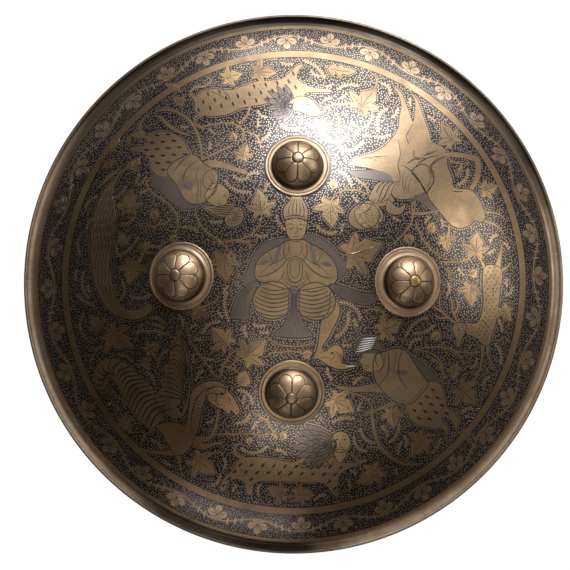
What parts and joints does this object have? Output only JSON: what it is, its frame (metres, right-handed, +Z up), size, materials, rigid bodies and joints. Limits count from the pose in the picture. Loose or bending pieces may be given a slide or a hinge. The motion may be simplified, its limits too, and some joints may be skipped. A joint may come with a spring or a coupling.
{
  "type": "round steel buckler",
  "caption": "Domed round buckler of etched steel sheet with a rolled rim and four riveted petal bosses, lying on its rim.",
  "frame": {"origin": "centre of the circle on which the rim rests, in the plane of the surface it lies on", "axes": "+Z up, out of the convex face; +Y towards the boss above the seated figure's head; +X towards the boss at that figure's left hand, the viewer's right"},
  "size_m": [0.465, 0.465, 0.0971],
  "materials": {
    "etched_steel": "brown patinated steel, etched: raised work worn to a copper brown, sunk ground black",
    "boss_steel": "brown patinated sheet steel, burnished on the crowns, dirt in the grooves",
    "rivet_steel": "hand-filed rivet head, brown in the recesses",
    "rivet_brass": "worn yellow brass with brown tarnish"
  },
  "bodies": {
    "root": {"shield_plate": "etched_steel", "boss_right": "boss_steel", "boss_upper": "boss_steel", "boss_left": "boss_steel", "boss_lower": "boss_steel", "rivet_right": "rivet_brass", "rivet_upper": "rivet_steel", "rivet_left": "rivet_steel", "rivet_lower": "rivet_steel"}
  },
  "joints": []
}
